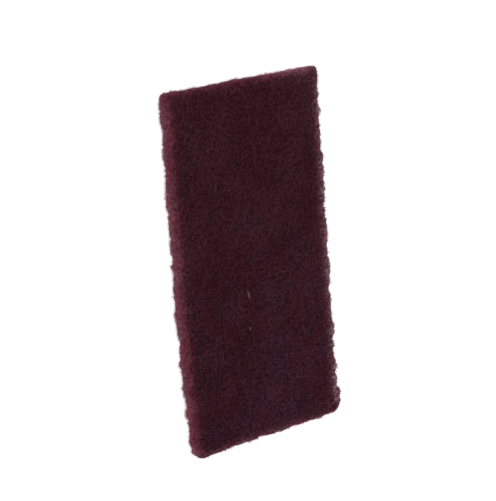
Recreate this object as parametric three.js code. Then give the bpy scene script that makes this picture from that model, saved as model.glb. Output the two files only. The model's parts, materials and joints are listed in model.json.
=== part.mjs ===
// Maroon scouring pad: one slab of needled, resin-bonded non-woven fibre web, lying on its face.
// Millimetres, +Z up. X runs across the pad and Y along it, with the head end at +Y.
// The origin is under the middle of the pad, on the surface that it lies on.
// The pad is cut from a thick felt-like sheet, so it is a single piece with no joints and no layers.

import * as THREE from "three";

// Overall sizes, to the mean lines of the cut edges
const LENGTH = 250;
const WIDTH = 122;
const THICKNESS = 12;

// The cutter presses the web down as it shears, which leaves rounded arrises round both faces
const ARRIS_RADIUS = 2.5;
const ARRIS_STEPS = 3;

// Plan corners: three are tight, and the one at +X on the foot end came out loose
const CORNER_RADIUS = 3.5;
const LOOSE_CORNER_RADIUS = 7;
const CORNER_STEPS = 5;

// Spacing of the outline's points along the rough long edges and along the cleaner short ends
const LONG_EDGE_STEP = 1.6;
const SHORT_END_STEP = 2.4;

// Crests and hollows of the rough cut. Each pair is a distance along the edge and how far the
// edge stands out from its mean line there. Long edges run from the head end to the foot end.
const LEFT_EDGE = [
  [0, -0.5], [8, 0.1], [13, -0.9], [20, 0.2], [24, -1.6], [29, -1.5], [33, 0], [42, 0.4],
  [46, -0.4], [57, -0.4], [60, 0.5], [72, 1.2], [79, -0.1], [82, 0.5], [85, 0.1], [92, 1.1],
  [96, -0.2], [103, 0.9], [110, -0.2], [116, 1.3], [121, 0], [124, 1], [126, 0.4], [130, 1.9],
  [135, 1.8], [141, 1.1], [145, 0.9], [148, 2.4], [156, 1.1], [168, 0.3], [173, 1.1], [177, 0.7],
  [183, 1.9], [192, 0.3], [200, 1.2], [209, -0.7], [220, 0.7], [224, -0.9], [231, -1.2],
  [238, 0.1], [243, -1.4], [250, -1.9],
];
const RIGHT_EDGE = [
  [0, 1], [3, 0.3], [6, 0.7], [13, -0.5], [16, -0.5], [20, 0.3], [24, -1.2], [30, 0.7],
  [36, -1.3], [44, -0.6], [47, -1], [53, -0.5], [58, -0.9], [64, 1.1], [67, 0.1], [71, 1.1],
  [79, 0], [86, 1], [89, 0.2], [91, 0.6], [96, -1.3], [103, -0.8], [107, 0.2], [109, 0],
  [113, 1.1], [116, 0.1], [119, 0.6], [127, -0.8], [130, -0.1], [133, -1], [139, 0.9],
  [145, 0.9], [150, 0], [153, 0.5], [156, -1.5], [160, -1.6], [163, 0], [171, -0.5],
  [180, -0.5], [183, 1], [189, 1.2], [196, -0.8], [199, 0.1], [205, -1], [210, -0.1],
  [216, 1.9], [220, -0.1], [224, 1.7], [230, 0.6], [236, 3.1], [242, 2.8], [250, 2.2],
];

// Short ends run from the left edge to the right one
const HEAD_END = [
  [0, 0], [6, 0.2], [19, -0.3], [23, 0.2], [28, -0.3], [35, -0.2], [41, 0.4], [46, 0.1],
  [58, 0.5], [66, 0.4], [71, -0.1], [73, 0.2], [76, 0], [83, 0.2], [95, -0.1], [117, 0],
  [122, 0.9],
];
const FOOT_END = [
  [0, 1.3], [4, 0.6], [18, 0.6], [24, 0.1], [30, -0.1], [35, 0.2], [39, -0.2], [47, 0.2],
  [52, -1.1], [55, -1], [61, 0.1], [64, 0.5], [67, 0], [72, 0.6], [75, 0.4], [78, -0.4],
  [81, 0], [92, 0.3], [95, 0.1], [99, 0.6], [105, 0.4], [109, -0.2], [115, 0.2], [122, -0.3],
];

const MAROON = 0x43212b;

// How far an edge stands out at a distance along it: smooth lobes between the listed crests and
// hollows, which start over where an edge is longer than its list.
function standsOut(edge, along) {
  const period = edge[edge.length - 1][0];
  const place = along > period ? along % period : Math.max(along, 0);
  const next = edge.findIndex(([reach]) => reach > place);
  if (next < 1) return edge[next === 0 ? 0 : edge.length - 1][1];
  const [from, low] = edge[next - 1];
  const [to, high] = edge[next];
  return THREE.MathUtils.lerp(low, high, THREE.MathUtils.smoothstep(place, from, to));
}

// Evenly spaced points on a straight run, without its last one
function straightRun(start, end, step) {
  const count = Math.max(1, Math.round(start.distanceTo(end) / step));
  return Array.from({ length: count }, (_, i) => start.clone().lerp(end, i / count));
}

// Points of a quarter circle round a plan corner, counter-clockwise, without its last one
function cornerArc(cornerX, cornerY, radius, startAngle) {
  const centre = new THREE.Vector2(
    cornerX - Math.sign(cornerX) * radius,
    cornerY - Math.sign(cornerY) * radius,
  );
  return Array.from({ length: CORNER_STEPS }, (_, i) => {
    const angle = startAngle + ((i / CORNER_STEPS) * Math.PI) / 2;
    return new THREE.Vector2(Math.cos(angle), Math.sin(angle)).multiplyScalar(radius).add(centre);
  });
}

// The pad's plan before the rough cut: a rectangle with rounded corners, counter-clockwise
function plainPlan() {
  const halfWidth = WIDTH / 2;
  const halfLength = LENGTH / 2;
  const smallest = ARRIS_RADIUS + 0.8;
  const largest = Math.min(halfWidth, halfLength) / 2;
  const corners = [
    { x: halfWidth, y: halfLength, radius: CORNER_RADIUS },
    { x: -halfWidth, y: halfLength, radius: CORNER_RADIUS },
    { x: -halfWidth, y: -halfLength, radius: CORNER_RADIUS },
    { x: halfWidth, y: -halfLength, radius: LOOSE_CORNER_RADIUS },
  ].map((corner) => ({
    ...corner,
    radius: THREE.MathUtils.clamp(corner.radius, smallest, largest),
  }));
  const points = corners.flatMap(({ x, y, radius }, i) => {
    const arc = cornerArc(x, y, radius, (i * Math.PI) / 2);
    const alongEnd = i % 2 === 0;
    const next = corners[(i + 1) % corners.length];
    const start = new THREE.Vector2(
      alongEnd ? x - Math.sign(x) * radius : x,
      alongEnd ? y : y - Math.sign(y) * radius,
    );
    const end = new THREE.Vector2(
      alongEnd ? next.x - Math.sign(next.x) * next.radius : next.x,
      alongEnd ? next.y : next.y - Math.sign(next.y) * next.radius,
    );
    return [...arc, ...straightRun(start, end, alongEnd ? SHORT_END_STEP : LONG_EDGE_STEP)];
  });
  return new THREE.Shape(points);
}

// Moves each point out or in by the rough cut of the edges beside it, in proportion to how near
// it lies to them, so that the arrises follow the cut and the corners stay joined.
function roughCut(geometry) {
  const position = geometry.getAttribute("position");
  for (let i = 0; i < position.count; i += 1) {
    const x = position.getX(i);
    const y = position.getY(i);
    const acrossShare = x / (WIDTH / 2);
    const alongShare = y / (LENGTH / 2);
    const longEdge = x < 0 ? LEFT_EDGE : RIGHT_EDGE;
    const shortEnd = y < 0 ? FOOT_END : HEAD_END;
    position.setX(i, x + standsOut(longEdge, LENGTH / 2 - y) * acrossShare);
    position.setY(i, y + standsOut(shortEnd, WIDTH / 2 + x) * alongShare);
  }
}

// The slab: the plan raised to the full thickness, with both faces flat and every arris rounded
function fibreSlab() {
  const arris = Math.min(ARRIS_RADIUS, THICKNESS / 2.5);
  const slab = new THREE.ExtrudeGeometry(plainPlan(), {
    depth: THICKNESS - 2 * arris,
    bevelThickness: arris,
    bevelSize: arris,
    bevelOffset: -arris,
    bevelSegments: ARRIS_STEPS,
  });
  roughCut(slab);
  slab.computeBoundingBox();
  const { min, max } = slab.boundingBox;
  slab.translate(-(min.x + max.x) / 2, -(min.y + max.y) / 2, -min.z);
  return slab;
}

const pad = new THREE.Mesh(
  fibreSlab(),
  new THREE.MeshStandardMaterial({ color: MAROON, roughness: 0.95, metalness: 0 }),
);
pad.name = "fibre_pad";

const scouringPad = new THREE.Group();
scouringPad.name = "scouring_pad";
scouringPad.add(pad);

export default scouringPad;
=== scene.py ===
# %% [markdown]
# # A maroon scouring pad
# The real pad is a thick felt of crimped synthetic fibres. They are laid down as a loose web,
# needled together, sprayed with a resin that holds grit, and cut to size with a knife.
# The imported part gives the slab: its length, width, thickness and the ripples of the rough cut.
# This script makes what the eye sees on it: a porous body, thousands of fibres that wander in and
# out of its surface, the paler cut edges, and plain studio light.

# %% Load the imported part
import json
from math import pi

import bmesh
import bpy
from mathutils import Matrix, Vector

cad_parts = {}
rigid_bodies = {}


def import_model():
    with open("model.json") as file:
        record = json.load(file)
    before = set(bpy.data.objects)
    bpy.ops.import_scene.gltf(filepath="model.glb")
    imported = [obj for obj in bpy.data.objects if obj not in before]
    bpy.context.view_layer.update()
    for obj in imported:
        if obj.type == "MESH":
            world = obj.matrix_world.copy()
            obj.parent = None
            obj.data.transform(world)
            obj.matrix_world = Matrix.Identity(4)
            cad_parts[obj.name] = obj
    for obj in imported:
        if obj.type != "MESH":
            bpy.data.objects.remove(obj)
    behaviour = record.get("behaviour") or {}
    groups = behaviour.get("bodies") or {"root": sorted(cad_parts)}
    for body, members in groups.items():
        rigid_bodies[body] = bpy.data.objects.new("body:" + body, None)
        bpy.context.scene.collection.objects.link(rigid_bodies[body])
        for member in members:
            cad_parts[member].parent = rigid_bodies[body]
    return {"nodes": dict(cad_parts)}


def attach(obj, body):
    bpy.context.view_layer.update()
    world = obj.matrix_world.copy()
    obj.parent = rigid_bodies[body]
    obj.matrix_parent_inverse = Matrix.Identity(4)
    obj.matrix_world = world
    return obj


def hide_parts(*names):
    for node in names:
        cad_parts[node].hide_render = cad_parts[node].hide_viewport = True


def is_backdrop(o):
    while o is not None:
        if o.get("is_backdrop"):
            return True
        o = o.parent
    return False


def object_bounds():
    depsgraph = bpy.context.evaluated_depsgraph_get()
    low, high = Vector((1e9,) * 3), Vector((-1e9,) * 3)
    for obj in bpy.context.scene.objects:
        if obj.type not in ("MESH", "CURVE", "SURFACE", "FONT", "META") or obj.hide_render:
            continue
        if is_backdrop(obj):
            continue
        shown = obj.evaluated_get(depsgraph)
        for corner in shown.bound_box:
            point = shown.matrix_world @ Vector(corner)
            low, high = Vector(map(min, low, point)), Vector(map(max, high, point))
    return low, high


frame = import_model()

MM = 0.001
SLAB = "fibre_pad"
cad_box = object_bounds()
bottom, top = cad_box[0][2], cad_box[1][2]
sides = [(most - least) / MM for least, most in zip(*cad_box)]
print("The slab measures", [round(side, 1) for side in sides], "mm")

# %% [markdown]
# ## Node trees as plain sums
# A material or a Geometry Nodes tree is easier to read as arithmetic than as a list of links.
# `Value` wraps one output socket, so that `1 - mask * 0.5` adds the Math nodes it needs.
# `Tree.add` makes every other node: it takes the node's type, its settings and its inputs.

# %% An output that can be used in sums
class Value:
    """One output of a node, which can be used in sums as if it were a number or a vector."""

    def __init__(self, tree, socket):
        self.tree, self.socket = tree, socket

    def output(self, name):
        """Another output of the same node."""
        return Value(self.tree, pick(self.socket.node.outputs, name))

    def is_vector(self):
        return self.socket.type in ("VECTOR", "RGBA")

    def math(self, operation, *others):
        """A Math node on this value, for the operations that have no sign in Python."""
        return self.tree.math(operation, self, *others)

    def __add__(self, other):
        return self.math("ADD", other)

    def __sub__(self, other):
        return self.math("SUBTRACT", other)

    def __rsub__(self, other):
        return self.tree.math("SUBTRACT", other, self)

    def __mul__(self, other):
        return self.math("MULTIPLY", other)

    def __truediv__(self, other):
        return self.math("DIVIDE", other)

    def __rtruediv__(self, other):
        return self.tree.math("DIVIDE", other, self)

    def __abs__(self):
        return self.math("ABSOLUTE")

    def __lt__(self, other):
        return self.math("LESS_THAN", other)

    def __gt__(self, other):
        return self.math("GREATER_THAN", other)

    __radd__, __rmul__ = __add__, __mul__


# %% A tree that makes nodes
def pick(sockets, key):
    """The socket with this name, or this place, among those that the node's settings leave in use."""
    in_use = [socket for socket in sockets if not socket.is_unavailable]
    return in_use[key] if isinstance(key, int) else next(s for s in in_use if s.name == key)


class Tree:
    """A node tree, in which add() makes one node and gives back its first output."""

    def __init__(self, node_tree):
        self.nodes, self.links = node_tree.nodes, node_tree.links

    def add(self, kind, settings=None, inputs=None):
        node = self.nodes.new(kind)
        for name, setting in (settings or {}).items():
            setattr(node, name, setting)
        for key, value in (inputs or {}).items():
            socket = pick(node.inputs, key)
            if isinstance(value, Value):
                self.links.new(value.socket, socket)
            elif socket.type in ("VECTOR", "ROTATION") and isinstance(value, (int, float)):
                socket.default_value = (value, value, value)
            else:
                socket.default_value = value
        in_use = [socket for socket in node.outputs if not socket.is_unavailable]
        return Value(self, in_use[0]) if in_use else node

    def math(self, operation, *terms):
        """A Math node, or a Vector Math node where a vector takes part."""
        vectors = [t for t in terms if isinstance(t, tuple) or isinstance(t, Value) and t.is_vector()]
        kind = "ShaderNodeVectorMath" if vectors else "ShaderNodeMath"
        return self.add(kind, {"operation": operation}, dict(enumerate(terms)))

    def split(self, vector):
        """A vector's three numbers, as the outputs X, Y and Z."""
        return self.add("ShaderNodeSeparateXYZ", None, {0: vector})

    def join(self, **numbers):
        """A vector from the numbers given as X, Y and Z."""
        return self.add("ShaderNodeCombineXYZ", None, numbers)

    def fade(self, value, start, end, low=0.0, high=1.0):
        """Goes smoothly from low to high while value goes from start to end."""
        return self.add("ShaderNodeMapRange", {"interpolation_type": "SMOOTHSTEP"}, {
            "Value": value, "From Min": start, "From Max": end, "To Min": low, "To Max": high})

    def noise(self, place, size, detail=2.0, rough=0.5, w=None, output="Fac"):
        """Cloudy noise around a middle value of 0.5, whose lumps are about `size` metres across."""
        inputs = {"Vector": place, "Scale": 1 / size, "Detail": detail, "Roughness": rough}
        if w is not None:
            inputs["W"] = w
        settings = {"noise_dimensions": "3D" if w is None else "4D"}
        return self.add("ShaderNodeTexNoise", settings, inputs).output(output)


def empty_tree(owner):
    """Gives a material or a world a node tree with nothing in it."""
    owner.use_nodes = True
    owner.node_tree.nodes.clear()
    return Tree(owner.node_tree)


# %% [markdown]
# ## The colours
# The face of the pad is a very dark maroon. The knife opens the web, so the cut sides catch more
# light and look paler, and that pale rim runs on for a few millimetres over the arrises. The rim is
# partly the paler cut web and partly painted light: its colour stands in for the sheen and the light
# from behind that the fuzz along the edges catches. Each surface has three tones. The first is for
# the gaps, with painted shade in it. The second is for the web. The third is for the paler fibres,
# with some of their gloss painted into it as a painted highlight. They are written in sRGB, which is
# how a colour is read off a screen, and turned linear here.

# %% Maroon, in linear light
def linear(red, green, blue):
    """An sRGB colour, 0 to 255, as Blender's linear RGBA."""
    channels = [c / 255 for c in (red, green, blue)]
    return (*(c / 12.92 if c <= 0.04045 else ((c + 0.055) / 1.055) ** 2.4 for c in channels), 1.0)


# In each set the first tone is partly painted shade for the gaps and the third is partly painted
# highlight. The edge sets and the frayed set are partly painted light on the cut sides.
BODY_FACE = [linear(26, 0, 5), linear(45, 13, 23), linear(62, 36, 46)]
BODY_EDGE = [linear(84, 28, 43), linear(130, 56, 74), linear(163, 89, 107)]
FIBRE_FACE = [linear(45, 5, 18), linear(62, 20, 34), linear(80, 48, 60)]
FIBRE_EDGE = [linear(122, 48, 66), linear(160, 75, 95), linear(192, 111, 131)]
FRAYED = [linear(122, 90, 101), linear(178, 147, 158), linear(228, 204, 213)]
SHEEN = linear(205, 150, 168)

# Tinges multiply a colour. Warm and cool patches lie all over the pad. The hue drift between its two
# ends is painted light: it stands in for a sheen that is not even along the pad.
WARM_TINGE = (1.05, 0.98, 0.96, 1.0)
COOL_TINGE = (0.95, 1.02, 1.04, 1.0)
HEAD_PAINTED_SHEEN_TINGE = (1.08, 0.93, 0.92, 1.0)
FOOT_PAINTED_SHEEN_TINGE = (1.07, 1.03, 1.13, 1.0)
print("Middle tone of the fibres:", [round(channel, 3) for channel in FIBRE_FACE[1][:3]])

# %% [markdown]
# ## Four sides that differ
# The knife went through the two ends more cleanly than through the long sides, and the right
# side is the most frayed. Colours and shapes both depend on that, so one helper tells them how
# much a place belongs to the right side and to each end. It fades over the corners, so that no
# seam shows there.

# %% Masks for the right side and the two ends
# The mean lines of the cut, in millimetres from the middle of the pad
HALF_WIDTH, HALF_LENGTH = 61.0, 125.0

# Where the masks begin and are full, as shares of those
RIGHT_FULL, END_BEGINS, END_FULL = 0.8, 0.92, 0.97


def beside(tree, place):
    """How much each place belongs to the right side, to the head end and to the foot end."""
    apart = tree.split(place / MM)
    right = tree.fade(apart.output("X"), 0.0, RIGHT_FULL * HALF_WIDTH)
    head = tree.fade(apart.output("Y"), END_BEGINS * HALF_LENGTH, END_FULL * HALF_LENGTH)
    foot = tree.fade(apart.output("Y"), -END_BEGINS * HALF_LENGTH, -END_FULL * HALF_LENGTH)
    return right, head, foot


# %% [markdown]
# ## The pale rim and its frayed crests
# The geometry, made further down, keeps two measures on every point: `inset`, how far it lies from
# the cut, and `crest`, how far the cut stands out beside it. The rim falls away with the first, and
# the frayed patches sit where the second is large. The rim is paler web with painted light on it: its
# fall-off stands in for the sheen and the light from behind on the rounded arrises, and in the
# hollows of the cut less of it is painted, as painted shade.

# %% Build the rim and the frayed patches
# The rim, paler web with painted light on it, falls to a third over RIM_FADE millimetres. On the left
# it starts at RIM_START, counted inwards from the cut, and on the other sides it starts this much
# further in. The wider rim on the right is painted light.
RIM_FADE, RIM_START = 1.9, -0.8
RIGHT_RIM, HEAD_RIM, FOOT_RIM = 3.1, -0.6, 0.6

# The rim's limit, and how much weaker it is on the right in the hollows of the cut, which is painted
# shade there
PALEST, HOLLOW = 0.85, 0.55

# How strong the fraying is on the left, and what the right side and the foot end add to it
FRAY, RIGHT_FRAY, FOOT_FRAY = 0.1, 1.5, 0.4
FRAY_SIZE, FRAY_IN_HOLLOWS = 2.5 * MM, 0.4


def attribute(tree, name):
    return tree.add("ShaderNodeAttribute", {"attribute_name": name}).output("Fac")


def pale_rim_and_painted_light(tree, crests, right, head, foot):
    """Palest on the cut sides, falling away with the distance from the cut, weaker in hollows. It is
    paler web with painted light on it, and painted shade in the hollows.
    """
    inset = attribute(tree, "inset")
    start = right * RIGHT_RIM + head * HEAD_RIM + foot * FOOT_RIM + RIM_START
    rim = ((start - inset) / RIM_FADE).math("EXPONENT")
    return rim.math("MINIMUM", PALEST) * (1 - (1 - crests) * right * HOLLOW)


def frayed(tree, place, crests, right, foot):
    """Where the cut stands out from its mean lines, the web is thin and its fibres look palest."""
    patches = tree.fade(tree.noise(place, FRAY_SIZE, detail=3.0, rough=0.7), 0.35, 0.6)
    strength = right * RIGHT_FRAY + foot * FOOT_FRAY + FRAY
    return (crests * (1 - FRAY_IN_HOLLOWS) + FRAY_IN_HOLLOWS) * patches * strength


# %% [markdown]
# ## The felt's material
# Felt has detail at three scales: clouds a few centimetres across where the web is thicker or
# thinner, clumps of a millimetre or two, and single strands. An image texture could show them,
# but noise that reads Object coordinates needs no unwrapping and never repeats.
# The strands come from a trick: the line along which a noise passes through its middle value
# wanders like a fibre, so a thin band around that value draws a tangle of curved strands.
# Two materials share it all. On the body the lightness comes from clumps and strands, and on the
# fibres each one has a tint of its own.

# %% Detail of the felt, from clouds down to strands
CLOUD_SIZE, CLUMP_SIZE, PORE_SIZE, GRAIN_SIZE = 30 * MM, 2.2 * MM, 1.9 * MM, 0.5 * MM

# Each kind of strand has a size and a seed
STRANDS = [(1.9 * MM, 0.0), (1.5 * MM, 7.0)]
STRAND_WIDTH = 0.05

# What each kind of detail adds to the lightness, which runs from 0 to 1
BODY_CLUMPS, BODY_STRANDS = 0.55, 0.4
FIBRE_TINT, FIBRE_CLUMPS, FIBRE_LEVEL = 0.6, 0.4, -0.005
# The last of these darkens the pores, which is painted shade in the gaps between clumps.
CLOUDS, LEVEL, PORE_SHADE = 0.11, 0.2, 0.6


def pores(tree, place):
    """1 in the gaps between clumps of fibres, and 0 on the clumps. Pores are flatter than wide."""
    gaps = tree.noise(place * (1.0, 1.0, 1.6), PORE_SIZE, detail=2.0, rough=0.6)
    return tree.fade(gaps, 0.55, 0.36)


def strands(tree, place, size, seed):
    """Thin wandering lines: a band around the middle value of a noise."""
    wander = tree.noise(place, size, detail=1.5, rough=0.4, w=seed)
    return tree.fade(abs(wander - 0.5), 0.0, STRAND_WIDTH, 1.0, 0.0)


def body_lightness(tree, place, clumps):
    coarse, fine = (strands(tree, place, size, seed) for size, seed in STRANDS)
    return tree.fade(clumps, 0.35, 0.7) * BODY_CLUMPS + (coarse + fine) * BODY_STRANDS


def fibre_lightness(tree, place, clumps):
    return attribute(tree, "tint") * FIBRE_TINT + clumps * FIBRE_CLUMPS + FIBRE_LEVEL


def with_clouds_and_pore_shade(tree, place, lightness):
    clouds = tree.noise(place, CLOUD_SIZE)
    lightness = lightness + tree.fade(clouds, 0.3, 0.7, -CLOUDS, CLOUDS)
    # The pores are darkened here: painted shade in the gaps, on top of the real shadows of the porous
    # body.
    return lightness + LEVEL - pores(tree, place) * PORE_SHADE


# %% Build the felt material
# On the right, the rim and the fraying give way to those of the two ends by these shares
RIGHT_TO_FOOT, RIGHT_TO_HEAD = 1.0, 0.6

# Painted light: how much lighter the cut sides are painted at the bottom than at the top, and what
# the head end adds
LOWER_PAINTED_LIGHT, HEAD_LOWER_PAINTED_LIGHT = 1.1, 0.5

# How much weaker the fraying is at the bottom of the cut, and how pale the tips of cut ends are
FRAY_LOWER, PALE_TIP = 0.8, 0.25

# The warm and cool patches. Their noise reads a shifted place, so that they have a pattern of
# their own.
HUE_SIZE = 18 * MM
HUE_SHIFT = (0.3, 0.0, 0.0)
BUMP_STRENGTH, BUMP_HEIGHT = 0.6, 0.25 * MM


def mix(tree, factor, first, second, blend="MIX"):
    settings = {"data_type": "RGBA", "blend_type": blend, "clamp_factor": True}
    return tree.add("ShaderNodeMix", settings, {"Factor": factor, "A": first, "B": second})


def three_tones(tree, lightness, tones):
    """From the first tone at 0 through the second at one half to the third at 1."""
    lower = mix(tree, tree.fade(lightness, 0.0, 0.5), tones[0], tones[1])
    return mix(tree, tree.fade(lightness, 0.5, 1.0), lower, tones[2])


def felt_colour(tree, place, clumps, face, edge, own_lightness):
    right, head, foot = beside(tree, place)
    right = right * (1 - foot * RIGHT_TO_FOOT) * (1 - head * RIGHT_TO_HEAD)
    crests = tree.fade(attribute(tree, "crest"), -1.0, 1.0)
    rim = pale_rim_and_painted_light(tree, crests, right, head, foot)
    apart = tree.split(place)
    lower = tree.fade(apart.output("Z"), top, bottom)
    lightness = with_clouds_and_pore_shade(tree, place, own_lightness(tree, place, clumps))
    # Painted light: the cut sides are made lighter at the bottom than at the top, and more so at the
    # head end.
    lightness = lightness + (lower - 0.5) * rim * (head * HEAD_LOWER_PAINTED_LIGHT + LOWER_PAINTED_LIGHT)

    # Painted sheen: the hue drifts from the foot to the head.
    along = tree.fade(apart.output("Y"), -HALF_LENGTH * MM, HALF_LENGTH * MM)
    tinge = mix(tree, along, FOOT_PAINTED_SHEEN_TINGE, HEAD_PAINTED_SHEEN_TINGE)
    colour = mix(tree, 1.0, three_tones(tree, lightness, face), tinge, "MULTIPLY")
    colour = mix(tree, rim, colour, three_tones(tree, lightness, edge))
    # The frayed patches are paler fibres laid on the rim's painted light, so they are partly painted
    # light too.
    pale = frayed(tree, place, crests, right, foot) * rim * (1 - lower * FRAY_LOWER)
    pale = pale + attribute(tree, "tip") * PALE_TIP
    colour = mix(tree, pale, colour, three_tones(tree, lightness, FRAYED))

    patches = tree.noise(place + HUE_SHIFT, HUE_SIZE, detail=2.0, rough=0.6)
    tinge = mix(tree, tree.fade(patches, 0.35, 0.65), WARM_TINGE, COOL_TINGE)
    return mix(tree, 1.0, colour, tinge, "MULTIPLY")


def felt_material(name, face, edge, own_lightness):
    material = bpy.data.materials.new(name)
    tree = empty_tree(material)
    place = tree.add("ShaderNodeTexCoord").output("Object")
    clumps = tree.noise(place, CLUMP_SIZE, detail=3.0, rough=0.65)
    grain = tree.noise(place, GRAIN_SIZE, detail=2.0, rough=0.6)
    bump = tree.add("ShaderNodeBump", None, {
        "Strength": BUMP_STRENGTH,
        "Distance": BUMP_HEIGHT,
        "Height": grain * 0.5 + clumps * 0.5,
    })
    felt = tree.add("ShaderNodeBsdfPrincipled", None, {
        "Base Color": felt_colour(tree, place, clumps, face, edge, own_lightness),
        "Roughness": tree.fade(grain, 0.3, 0.7, 0.6, 0.85),
        "Normal": bump,
        "Specular IOR Level": 0.075,
        "Sheen Weight": 0.1,
        "Sheen Roughness": 0.3,
        "Sheen Tint": SHEEN,
    })
    tree.add("ShaderNodeOutputMaterial", None, {"Surface": felt})
    return material


body_felt = felt_material("felt_body", BODY_FACE, BODY_EDGE, body_lightness)
fibre_felt = felt_material("felt_fibres", FIBRE_FACE, FIBRE_EDGE, fibre_lightness)
print("Materials:", body_felt.name, fibre_felt.name)

# %% [markdown]
# ## The slab as a working surface
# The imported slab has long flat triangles, which can't be made lumpy. A copy is joined at its
# seams, and a voxel remesh then gives it an even net of small faces. The CAD slab itself stays
# as it was packed, and is only hidden by the piece that stands for it.

# %% Copy the slab and give it an even net of faces
VOXEL = 0.9 * MM
SEAM = 0.001 * MM


def show(name, mesh):
    """Puts a mesh into the scene, at the origin, under a name of its own."""
    mesh.name = name
    piece = bpy.data.objects.new(name, mesh)
    bpy.context.scene.collection.objects.link(piece)
    return piece


def plain_mesh(source):
    """What an object looks like with its modifiers, as a mesh of its own."""
    evaluated = source.evaluated_get(bpy.context.evaluated_depsgraph_get())
    return bpy.data.meshes.new_from_object(evaluated)


def triangles(piece):
    return sum(len(face.vertices) - 2 for face in piece.data.polygons)


def merged_copy(node):
    source = frame["nodes"][node]
    net = bmesh.new()
    net.from_mesh(source.data)
    net.transform(source.matrix_world)
    bmesh.ops.remove_doubles(net, verts=net.verts, dist=SEAM)
    mesh = bpy.data.meshes.new(node + "_copy")
    net.to_mesh(mesh)
    net.free()
    mesh.materials.clear()
    return show(node + "_copy", mesh)


slab = merged_copy(SLAB)
remesh = slab.modifiers.new("even_net", "REMESH")
remesh.mode, remesh.voxel_size = "VOXEL", VOXEL
even_slab = show("even_slab", plain_mesh(slab))
slab.modifiers.remove(remesh)
print("Even net:", triangles(even_slab), "triangles from", triangles(slab))

# %% [markdown]
# ## Shapes from Geometry Nodes
# From here on a shape follows a rule, such as a fibre on every so many square millimetres, so
# Geometry Nodes make it. Each tree has named inputs for its sizes, ends as one piece of plain
# geometry with a material, and runs as a modifier on a working mesh. The modifier's inputs are
# set before it first runs, and its result is taken off as a mesh, so that nothing stays live.

# %% Helpers to build a tree and to run it
def new_geometry_tree(name, inputs):
    """An empty Geometry Nodes tree that is given a mesh, a material and named inputs, which are
    written as name: (socket type, value)."""
    group = bpy.data.node_groups.new(name, "GeometryNodeTree")
    group.interface.new_socket("Geometry", in_out="INPUT", socket_type="NodeSocketGeometry")
    group.interface.new_socket("Geometry", in_out="OUTPUT", socket_type="NodeSocketGeometry")
    for label, (socket_type, value) in inputs.items():
        socket = group.interface.new_socket(label, in_out="INPUT", socket_type=socket_type)
        socket.default_value = value
    group.interface.new_socket("Material", in_out="INPUT", socket_type="NodeSocketMaterial")
    tree = Tree(group)
    return group, tree, tree.add("NodeGroupInput")


def finish_geometry_tree(tree, given, geometry):
    joined = tree.add("GeometryNodeRealizeInstances", None, {"Geometry": geometry})
    dressed = tree.add("GeometryNodeSetMaterial", None, {
        "Geometry": joined, "Material": given.output("Material")})
    tree.add("NodeGroupOutput", None, {"Geometry": dressed})


def grow(name, start, group, values):
    """Runs a Geometry Nodes tree on a mesh object and gives its result as a new, plain object."""
    modifier = start.modifiers.new(group.name, "NODES")
    modifier.node_group = group
    for item in group.interface.items_tree:
        if item.in_out == "INPUT" and item.name in values:
            modifier[item.identifier] = values[item.name]
    mesh = plain_mesh(start)
    start.modifiers.remove(modifier)
    return show(name, mesh)


def keep(tree, geometry, name, value, domain="POINT"):
    """Keeps a number on the geometry under a name, for later trees and for the materials."""
    settings = {"data_type": "FLOAT", "domain": domain}
    return tree.add("GeometryNodeStoreNamedAttribute", settings, {
        "Geometry": geometry, "Name": name, "Value": value})


def kept(tree, name):
    return tree.add("GeometryNodeInputNamedAttribute", {"data_type": "FLOAT"}, {"Name": name})


# %% [markdown]
# ## The ragged cut
# The CAD outline has the crests that the knife left every centimetre or so. Between them the cut
# felt stands out in lobes of a few millimetres, which run down the cut, and in smaller tufts,
# which show as fine scallops against a pale background. Both are noises that push the cut sides
# out and in, and fade away over the arrises. A finer outline in the slab could show them too,
# but it would need hundreds of points, and a noise needs only a size and a height.
# Three plan corners are also drawn out a little, because they are tighter than the smallest
# radius that the CAD slab's arris allows.
# Each point first keeps its distance from the cut, and how far the cut stands out beside it,
# because the colours need both.

# %% Measure how far each point lies from the cut
# A face is part of the cut while its normal's Z lies closer to 0 than this
UPRIGHT = 0.2


def beside_cut(tree, surface):
    """In millimetres, how far each point lies from the surface's upright sides, in plan, and how
    far the nearest place on those sides stands out from the mean lines of the cut."""
    middle = (bottom + top) / 2
    flat = tree.add("GeometryNodeInputPosition") * (1.0, 1.0, 0.0) + (0.0, 0.0, middle)
    tilt = tree.split(tree.add("GeometryNodeInputNormal"))
    walls = tree.add("GeometryNodeSeparateGeometry", {"domain": "FACE"}, {
        "Geometry": surface, "Selection": abs(tilt.output("Z")) < UPRIGHT})
    near = tree.add("GeometryNodeProximity", {"target_element": "FACES"}, {
        0: walls, "Sample Position": flat})
    side = tree.split(near.output("Position") / MM)
    beyond_side = abs(side.output("X")) - HALF_WIDTH
    beyond_end = abs(side.output("Y")) - HALF_LENGTH
    return near.output("Distance") / MM, beyond_side.math("MAXIMUM", beyond_end)


# %% Raise the lobes and tufts, and tighten the corners
# Squeezing a place along Z stretches the noise that reads it, so that its lumps stand upright
UPRIGHT_LOBES, UPRIGHT_TUFTS = (1.0, 1.0, 0.4), (1.0, 1.0, 0.6)

# The lobes' own mean, which is taken off so that they make the pad neither wider nor narrower
MEAN_LOBE = 0.1

# How much calmer the cut is at the two ends
CALMER_ENDS = 0.25


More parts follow.
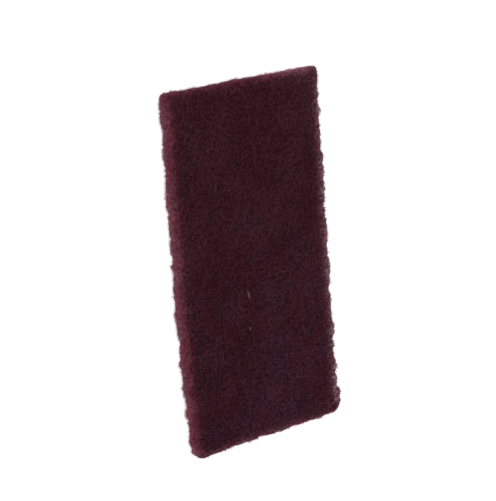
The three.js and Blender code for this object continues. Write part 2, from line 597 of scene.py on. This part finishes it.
def raggedness(tree, given, place, head, foot):
    """How far the cut is pushed out at a place."""
    lobes = tree.noise(place * UPRIGHT_LOBES, given.output("Lobe Size"), detail=1.0)
    tufts = tree.noise(place * UPRIGHT_TUFTS, given.output("Tuft Size"), detail=2.0, rough=0.6)
    push = (abs(lobes - 0.5) - MEAN_LOBE) * given.output("Lobe Height")
    push = push + (tufts - 0.5) * given.output("Tuft Height")
    return push * (1 - (head + foot) * CALMER_ENDS) - head * given.output("Head Drawn In")


def out_of_corner(tree, given, place, right, foot):
    """A shift outwards in plan that grows into each corner but the loose one."""
    apart = tree.split(place)
    into_corner = []
    for axis, half in (("X", HALF_WIDTH * MM), ("Y", HALF_LENGTH * MM)):
        beyond = (abs(apart.output(axis)) - half + given.output("Corner")) / given.output("Corner")
        into_corner.append(beyond.math("MAXIMUM", 0.0))
    amount = into_corner[0] * into_corner[1] * given.output("Sharpening") * (1 - right * foot)
    return tree.join(**{axis: apart.output(axis).math("SIGN") * amount for axis in ("X", "Y")})


def ragged_cut_tree():
    group, tree, given = new_geometry_tree("ragged_cut", {
        "Lobe Height": ("NodeSocketFloat", 3.6 * MM),
        "Lobe Size": ("NodeSocketFloat", 6.0 * MM),
        "Tuft Height": ("NodeSocketFloat", 1.8 * MM),
        "Tuft Size": ("NodeSocketFloat", 2.2 * MM),
        "Head Drawn In": ("NodeSocketFloat", 0.2 * MM),
        "Corner": ("NodeSocketFloat", 3.5 * MM),
        "Sharpening": ("NodeSocketFloat", 0.9 * MM),
        "Reach": ("NodeSocketFloat", 3.0),
    })
    surface = given.output("Geometry")
    distance, crest = beside_cut(tree, surface)
    surface = keep(tree, keep(tree, surface, "inset", distance), "crest", crest)
    near_cut = tree.fade(kept(tree, "inset"), given.output("Reach"), 0.0)
    place = tree.add("GeometryNodeInputPosition")
    right, head, foot = beside(tree, place)
    push = raggedness(tree, given, place, head, foot)
    ragged = tree.add("GeometryNodeSetPosition", None, {
        "Geometry": surface, "Offset": tree.add("GeometryNodeInputNormal") * push * near_cut})
    finish_geometry_tree(tree, given, tree.add("GeometryNodeSetPosition", None, {
        "Geometry": ragged, "Offset": out_of_corner(tree, given, place, right, foot)}))
    return group


felt_form = grow("felt_form", even_slab, ragged_cut_tree(), {"Material": body_felt})
print("Ragged form:", triangles(felt_form), "triangles")

# %% [markdown]
# ## The porous body
# The body is what lies just under the outermost fibres. It is the ragged form, pushed in by a
# fraction of a millimetre at clumps and by up to a millimetre at pores, so that the shadows
# between the fibres are real. A bump in the material would cost nothing, but it throws no such
# shadows, and the mesh by itself would stay smooth.

# %% Displace the form into a porous body
LUMP_SIZE = 8 * MM


def porous_body_tree():
    group, tree, given = new_geometry_tree("porous_body", {
        "Lump Depth": ("NodeSocketFloat", 0.35 * MM),
        "Pore Depth": ("NodeSocketFloat", 0.9 * MM),
        "Skin": ("NodeSocketFloat", 0.15 * MM),
    })
    place = tree.add("GeometryNodeInputPosition")
    lumps = tree.noise(place, LUMP_SIZE)
    depth = given.output("Skin") + lumps * given.output("Lump Depth")
    depth = depth + pores(tree, place) * given.output("Pore Depth")
    moved = tree.add("GeometryNodeSetPosition", None, {
        "Geometry": given.output("Geometry"),
        "Offset": tree.add("GeometryNodeInputNormal") * (depth * -1)})
    finish_geometry_tree(tree, given, tree.add("GeometryNodeSetShadeSmooth", None, {
        "Geometry": moved}))
    return group


pad_body = grow("pad_body", felt_form, porous_body_tree(), {"Material": body_felt})
print("Porous body:", triangles(pad_body), "triangles")

# %% [markdown]
# ## The fibres
# Each fibre starts as a short straight line, laid on a random point of the slab and turned at
# random in its surface. A smooth noise bends it sideways, with its own seed for each fibre, and
# then every point is laid back on the slab at a height that rises and falls along the fibre, so
# it weaves in and out of the porous body. A three-sided tube is enough for something as thin as
# this: smooth shading rounds it off, and thousands of them stay affordable.
# Hair particles would do the same job in a render, but they aren't a mesh that can be exported.

# %% Root the fibres and lay them out straight
# The shortest and the longest fibre, as shares of the length that is asked for
SHORTEST, LONGEST = 0.55, 1.35


def random_number(tree, seed, least, most):
    return tree.add("FunctionNodeRandomValue", {"data_type": "FLOAT"}, {
        "Min": least, "Max": most, "Seed": seed})


def rooted_on(tree, given, share=1.0):
    """Random points on those faces of the surface whose tilt is asked for."""
    tilt = tree.split(tree.add("GeometryNodeInputNormal")).output("Z")
    chosen = (tilt > given.output("Lowest Tilt")) * (tilt < given.output("Highest Tilt"))
    return tree.add("GeometryNodeDistributePointsOnFaces", {"distribute_method": "RANDOM"}, {
        "Mesh": given.output("Geometry"), "Selection": chosen,
        "Density": given.output("Fibres per m2") * share, "Seed": given.output("Seed")})


def turned(tree, roots, turn):
    """Each root's own direction, turned once more in its own frame."""
    return tree.add("FunctionNodeRotateRotation", {"rotation_space": "LOCAL"}, {
        "Rotation": roots.output("Rotation"), "Rotate By": turn})


def straight_fibres(tree, given, roots, direction, start, end):
    """A straight line on each root, from start to end in its own frame, with a tint of its own."""
    line = tree.add("GeometryNodeCurvePrimitiveLine", None, {"Start": start, "End": end})
    line = tree.add("GeometryNodeResampleCurve", None, {
        "Curve": line, "Count": given.output("Points")})
    laid = tree.add("GeometryNodeInstanceOnPoints", None, {
        "Points": roots, "Instance": line, "Rotation": direction,
        "Scale": random_number(tree, given.output("Seed") + 1, SHORTEST, LONGEST)})
    tint = random_number(tree, given.output("Seed") + 2, 0.0, 1.0)
    laid = keep(tree, laid, "tint", tint, domain="INSTANCE")
    return tree.add("GeometryNodeRealizeInstances", None, {"Geometry": laid})


# %% Bend them, lay them on the slab and make them tubes
# Spreads the fibres' tints, from 0 to 1, over noises that have nothing in common
BEND_SPREAD = 97.0


def bent_fibres(tree, given, fibres):
    """Bends each fibre with a noise of its own."""
    place = tree.add("GeometryNodeInputPosition")
    own = kept(tree, "tint") * BEND_SPREAD
    bend = tree.noise(place, given.output("Curl Size"), detail=1.0, w=own, output="Color")
    return tree.add("GeometryNodeSetPosition", None, {
        "Geometry": fibres, "Offset": (bend - (0.5, 0.5, 0.5)) * given.output("Curl")})


def nearest(tree, given, value, data_type="FLOAT_VECTOR"):
    """A value of the surface, at the place on it that is nearest to each point."""
    return tree.add("GeometryNodeSampleNearestSurface", {"data_type": data_type}, {
        "Mesh": given.output("Geometry"), "Value": value})


def above_floor(tree, given, place):
    """Lifts a place to where a fibre just rests on what the pad lies on."""
    rest = tree.join(X=-1.0, Y=-1.0, Z=given.output("Radius") + bottom)
    return place.math("MAXIMUM", rest)


def finish_fibres(tree, given, fibres, place):
    """Moves the lines' points to their place, takes over what the surface keeps, makes
    three-sided tubes of the lines and ends the tree."""
    fibres = tree.add("GeometryNodeSetPosition", None, {
        "Geometry": fibres, "Position": above_floor(tree, given, place)})
    for name in ("inset", "crest"):
        fibres = keep(tree, fibres, name, nearest(tree, given, kept(tree, name), "FLOAT"))
    ring = tree.add("GeometryNodeCurvePrimitiveCircle", None, {
        "Resolution": 3, "Radius": given.output("Radius")})
    tubes = tree.add("GeometryNodeCurveToMesh", None, {
        "Curve": fibres, "Profile Curve": ring, "Fill Caps": True})
    finish_geometry_tree(tree, given, tree.add("GeometryNodeSetShadeSmooth", None, {
        "Geometry": tubes}))


# %% The tree for fibres that lie in the surface
# The noise that lifts and sinks a fibre along its length, with seeds apart from the bend's
WEAVE_SIZE, WEAVE_SPREAD, WEAVE_SHIFT = 2.4 * MM, 41.0, 5.0


def lying_fibre_tree():
    group, tree, given = new_geometry_tree("lying_fibres", {
        "Lowest Tilt": ("NodeSocketFloat", -2.0),
        "Highest Tilt": ("NodeSocketFloat", 2.0),
        "Fibres per m2": ("NodeSocketFloat", 200000.0),
        "Length": ("NodeSocketFloat", 9 * MM),
        "Points": ("NodeSocketInt", 6),
        "Radius": ("NodeSocketFloat", 0.14 * MM),
        "Curl": ("NodeSocketFloat", 7 * MM),
        "Curl Size": ("NodeSocketFloat", 7 * MM),
        "Sunk": ("NodeSocketFloat", -0.5 * MM),
        "Proud": ("NodeSocketFloat", 0.15 * MM),
        "Seed": ("NodeSocketInt", 1),
    })
    roots = rooted_on(tree, given)
    spin = tree.add("FunctionNodeAxisAngleToRotation", None, {
        "Axis": (0.0, 0.0, 1.0), "Angle": random_number(tree, given.output("Seed"), 0.0, 2 * pi)})
    half = given.output("Length") * 0.5
    ends = [tree.join(X=half * side) for side in (-1, 1)]
    fibres = straight_fibres(tree, given, roots, turned(tree, roots, spin), *ends)
    fibres = bent_fibres(tree, given, fibres)

    place = tree.add("GeometryNodeInputPosition")
    on_surface = nearest(tree, given, place)
    outward = nearest(tree, given, tree.add("GeometryNodeInputNormal"))
    own = kept(tree, "tint") * WEAVE_SPREAD + WEAVE_SHIFT
    weave = tree.noise(place, WEAVE_SIZE, detail=0.0, w=own)
    height = tree.fade(weave, 0.3, 0.7, given.output("Sunk"), given.output("Proud"))
    finish_fibres(tree, given, fibres, on_surface + outward * height)
    return group


# %% Lay them on both faces and on the cut sides
lying = lying_fibre_tree()
LYING_LAYERS = {
    "upper_fibres_first": {"Lowest Tilt": 0.3, "Seed": 11, "Fibres per m2": 190000.0},
    "upper_fibres_second": {"Lowest Tilt": 0.3, "Seed": 23, "Fibres per m2": 190000.0},
    "under_fibres": {"Highest Tilt": -0.3, "Seed": 37, "Fibres per m2": 160000.0},
    "cut_edge_fibres": {
        "Lowest Tilt": -0.8, "Highest Tilt": 0.8, "Seed": 53, "Fibres per m2": 650000.0,
        "Length": 4 * MM, "Points": 4, "Radius": 0.12 * MM, "Curl Size": 4 * MM,
        "Curl": 4 * MM, "Sunk": -0.4 * MM, "Proud": 0.25 * MM},
}
layers = [
    grow(name, felt_form, lying, {"Material": fibre_felt, **changes})
    for name, changes in LYING_LAYERS.items()
]
for layer in layers:
    print(layer.name, triangles(layer), "triangles")

# %% [markdown]
# ## The cut fibre ends
# A knife leaves thousands of short ends that stick straight out of the cut sides. They are what
# makes the edge look frayed and pale against the background. Each is a short line along the
# surface's normal, leant over at random and rooted a little way inside the web. A paler, rougher
# finish would do from afar, but the outline would stay hard. They stand in clumps, with fewer
# at the two clean ends, and each keeps how far along it a point lies, so that the material can
# make its tip paler.

# %% The tree for fibre ends that stand out of the cut
# The clump noise at which the cut is bare, and at which it is full of ends
BARE, TUFTED = 0.5, 0.6
FEWER_AT_ENDS = 0.6


def cut_end_tree():
    group, tree, given = new_geometry_tree("cut_ends", {
        "Lowest Tilt": ("NodeSocketFloat", -0.85),
        "Highest Tilt": ("NodeSocketFloat", 0.85),
        "Fibres per m2": ("NodeSocketFloat", 2600000.0),
        "Clump Size": ("NodeSocketFloat", 1.9 * MM),
        "Rooted": ("NodeSocketFloat", 0.6 * MM),
        "Proud": ("NodeSocketFloat", 1.4 * MM),
        "Points": ("NodeSocketInt", 3),
        "Radius": ("NodeSocketFloat", 0.13 * MM),
        "Lean": ("NodeSocketFloat", 0.55),
        "Curl": ("NodeSocketFloat", 1.2 * MM),
        "Curl Size": ("NodeSocketFloat", 1.5 * MM),
        "Seed": ("NodeSocketInt", 83),
    })
    place = tree.add("GeometryNodeInputPosition")
    clumps = tree.noise(place, given.output("Clump Size"), detail=1.0)
    _, head, foot = beside(tree, place)
    share = tree.fade(clumps, BARE, TUFTED) * (1 - (head + foot) * FEWER_AT_ENDS)
    roots = rooted_on(tree, given, share)
    lean = tree.join(**{
        axis: random_number(tree, given.output("Seed") + shift, -1.0, 1.0) * given.output("Lean")
        for axis, shift in (("X", 5), ("Y", 6))})
    lean = tree.add("FunctionNodeEulerToRotation", None, {"Euler": lean})
    inner = tree.join(Z=given.output("Rooted") * -1)
    outer = tree.join(Z=given.output("Proud"))
    fibres = straight_fibres(tree, given, roots, turned(tree, roots, lean), inner, outer)
    fibres = bent_fibres(tree, given, fibres)
    fibres = keep(tree, fibres, "tip", tree.add("GeometryNodeSplineParameter"))
    finish_fibres(tree, given, fibres, tree.add("GeometryNodeInputPosition"))
    return group


# %% Stand them out of the cut sides
cut_ends = grow("cut_ends", felt_form, cut_end_tree(), {"Material": fibre_felt})
layers.append(cut_ends)
print(cut_ends.name, triangles(cut_ends), "triangles")

# %% [markdown]
# ## Two stray fibres
# Two pale fibres lie loose on the face, near the middle. They are curves with a round bevel,
# because there are only two of them and each has a place of its own.

# %% Lay the stray fibres on the face
STRAY_RADIUS = 0.2 * MM
STRAY_TONES = linear(96, 72, 80), linear(150, 130, 136)

# The points that each one passes, across and along the pad, in millimetres
STRAY_FIBRES = [
    [(-10.7, -17.0), (-10.3, -18.6), (-9.9, -20.4), (-9.9, -22.0)],
    [(-11.4, -42.4), (-11.1, -43.4), (-11.2, -44.4)],
]


def pale_fibre_material():
    material = bpy.data.materials.new("pale_fibre")
    tree = empty_tree(material)
    place = tree.add("ShaderNodeTexCoord").output("Object")
    uneven = tree.noise(place, 1.2 * MM)
    fibre = tree.add("ShaderNodeBsdfPrincipled", None, {
        "Base Color": mix(tree, uneven, *STRAY_TONES),
        "Roughness": 0.6,
        "Specular IOR Level": 0.3,
    })
    tree.add("ShaderNodeOutputMaterial", None, {"Surface": fibre})
    return material


def lay_stray_fibres(name):
    curve = bpy.data.curves.new(name, "CURVE")
    curve.dimensions, curve.bevel_depth, curve.bevel_resolution = "3D", STRAY_RADIUS, 1
    curve.resolution_u, curve.use_fill_caps = 4, True
    for points in STRAY_FIBRES:
        spline = curve.splines.new("BEZIER")
        spline.bezier_points.add(len(points) - 1)
        for knot, (x, y) in zip(spline.bezier_points, points):
            knot.co = Vector((x * MM, y * MM, top + STRAY_RADIUS))
            knot.handle_left_type = knot.handle_right_type = "AUTO"
    holder = bpy.data.objects.new(name, curve)
    bpy.context.scene.collection.objects.link(holder)
    mesh = plain_mesh(holder)
    bpy.data.objects.remove(holder)
    mesh.materials.clear()
    mesh.materials.append(pale_fibre_material())
    return show(name, mesh)


stray_fibres = lay_stray_fibres("stray_fibres")
layers.append(stray_fibres)
print(stray_fibres.name, triangles(stray_fibres), "triangles")

# %% [markdown]
# ## Floor and light
# The pad lies on a white floor under a bright, even sky. One large soft lamp stands on the side
# of the left cut edge and the head end, so that those two sides look paler than the face, and a
# low one on the far side keeps the other two from going dark.
# More light would wash out the dark maroon. So the floor and the sky are made whiter only for
# the rays that show them to the eye, and the floor keeps the pad's shadow.

# %% A white floor
FLOOR_SIZE = 6.0
PAPER = (0.85, 0.85, 0.85, 1.0)
PAPER_GLOW = 0.5


def seen_rays(tree):
    """1 for a ray that shows the background itself: straight on, in a gloss or through glass."""
    rays = tree.add("ShaderNodeLightPath")
    seen = rays.output("Is Camera Ray") + rays.output("Is Glossy Ray")
    seen = seen + rays.output("Is Transmission Ray")
    return seen.math("MINIMUM", 1.0)


def white_floor():
    material = bpy.data.materials.new("white_floor")
    tree = empty_tree(material)
    paper = tree.add("ShaderNodeBsdfDiffuse", None, {"Color": PAPER})
    glow = tree.add("ShaderNodeEmission", None, {"Strength": seen_rays(tree) * PAPER_GLOW})
    both = tree.add("ShaderNodeAddShader", None, {0: paper, 1: glow})
    tree.add("ShaderNodeOutputMaterial", None, {"Surface": both})
    bpy.ops.mesh.primitive_plane_add(size=FLOOR_SIZE, location=(0.0, 0.0, bottom))
    floor = bpy.context.object
    floor.name = "floor"
    floor.data.materials.append(material)
    return floor


floor = white_floor()
print("Floor:", FLOOR_SIZE, "m wide, at height", bottom)

# %% Sky and lamps
SKY_LIGHT = 0.55
LAMP_AWAY, LAMP_SIZE = 2.0, 1.6


def even_sky():
    world = bpy.data.worlds.new("studio")
    tree = empty_tree(world)
    sky = tree.add("ShaderNodeBackground", None, {
        "Color": (1.0, 1.0, 1.0, 1.0),
        "Strength": seen_rays(tree) * (1 - SKY_LIGHT) + SKY_LIGHT})
    tree.add("ShaderNodeOutputWorld", None, {"Surface": sky})
    return world


def soft_lamp(name, direction, watts):
    """A square lamp that shines on the pad from a direction."""
    lamp = bpy.data.lights.new(name, "AREA")
    lamp.size, lamp.energy = LAMP_SIZE, watts
    holder = bpy.data.objects.new(name, lamp)
    bpy.context.scene.collection.objects.link(holder)
    towards = Vector(direction).normalized()
    holder.location = towards * LAMP_AWAY
    holder.rotation_euler = towards.to_track_quat("Z", "Y").to_euler()
    return holder


bpy.context.scene.world = even_sky()
side_lamp = soft_lamp("side_lamp", (-0.62, 0.52, 0.59), 26.0)
far_lamp = soft_lamp("far_lamp", (0.82, -0.42, 0.25), 27.0)
for lamp in (side_lamp, far_lamp):
    print(lamp.name, lamp.data.energy, "W at", [round(number, 2) for number in lamp.location])

# %% [markdown]
# ## Camera
# The camera looks down on the pad from the direction in which the photograph shows its face,
# turned so that the pad's head end is at the top of the picture. Its place, direction and focal
# length come from a pinhole camera that was fitted to the pad's edges and corners. The picture
# is a little taller than wide, so the sensor's size goes with its height.

# %% Place the camera
SENSOR, PICTURE_HEIGHT, FOCAL_PIXELS = 36.0, 501, 1540.7
CAMERA_PLACE = Vector((-568.0, 290.7, 836.6)) * MM
LOOKS_ALONG = Vector((0.54104, -0.27007, -0.79645))
PICTURE_UP = Vector((0.21436, 0.96004, -0.17992))

lens = bpy.data.cameras.new("camera")
lens.sensor_fit, lens.sensor_width = "AUTO", SENSOR
lens.lens = FOCAL_PIXELS / PICTURE_HEIGHT * SENSOR
camera = bpy.data.objects.new("camera", lens)
bpy.context.scene.collection.objects.link(camera)
back = -LOOKS_ALONG.normalized()
rightwards = PICTURE_UP.cross(back).normalized()
axes = Matrix((rightwards, back.cross(rightwards), back)).transposed()
camera.matrix_world = Matrix.Translation(CAMERA_PLACE) @ axes.to_4x4()
bpy.context.scene.camera = camera
bpy.context.scene.view_settings.view_transform = "Standard"
print("Camera:", round(lens.lens, 1), "mm lens,", round(CAMERA_PLACE.length, 2), "m away")

# %% [markdown]
# ## Handing the pieces over
# The working copies have done their work and go. The porous body stands for the imported slab, which
# is hidden, and every piece rides on the one body, because nothing on the pad moves.

# %% Say what each piece is
for helper in (slab, even_slab, felt_form):
    bpy.data.objects.remove(helper)

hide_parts(SLAB)
for piece in (pad_body, *layers):
    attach(piece, "root")
floor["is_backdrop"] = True
print("Pieces:", 1 + len(layers), "with", sum(map(triangles, (pad_body, *layers))), "triangles")

# %% Show the two sizes and finish
boxes = {"cad": cad_box, "visual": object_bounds()}
{name: [list(corner) for corner in box] for name, box in boxes.items()}
